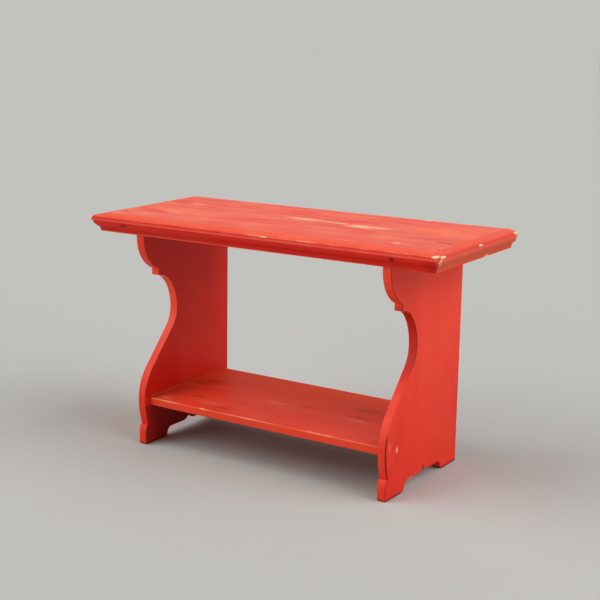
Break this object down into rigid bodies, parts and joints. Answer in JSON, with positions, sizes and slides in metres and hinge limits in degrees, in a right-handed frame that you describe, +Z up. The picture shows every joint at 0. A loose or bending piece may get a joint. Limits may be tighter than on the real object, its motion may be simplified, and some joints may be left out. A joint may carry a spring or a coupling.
{
  "type": "bucket bench",
  "caption": "Small red painted wooden bench with scrolled end boards, a low shelf and a planked top with a mitred moulded edge.",
  "frame": {"origin": "on the floor, under the middle of the top's outline", "axes": "+X along the bench to its right end, +Y towards its plain back edge, +Z up; the front moulding faces -Y"},
  "size_m": [0.874, 0.35, 0.518],
  "materials": {
    "red_paint": "old red oil paint on pine, satin, rubbed and dusty on top, worn to bare wood at corners, edges and along the joint between the planks"
  },
  "bodies": {
    "root": {"front_plank": "red_paint", "back_plank": "red_paint", "front_moulding": "red_paint", "left_moulding": "red_paint", "right_moulding": "red_paint", "left_end_board": "red_paint", "right_end_board": "red_paint", "shelf": "red_paint", "left_shelf_bead": "red_paint", "right_shelf_bead": "red_paint"}
  },
  "joints": []
}
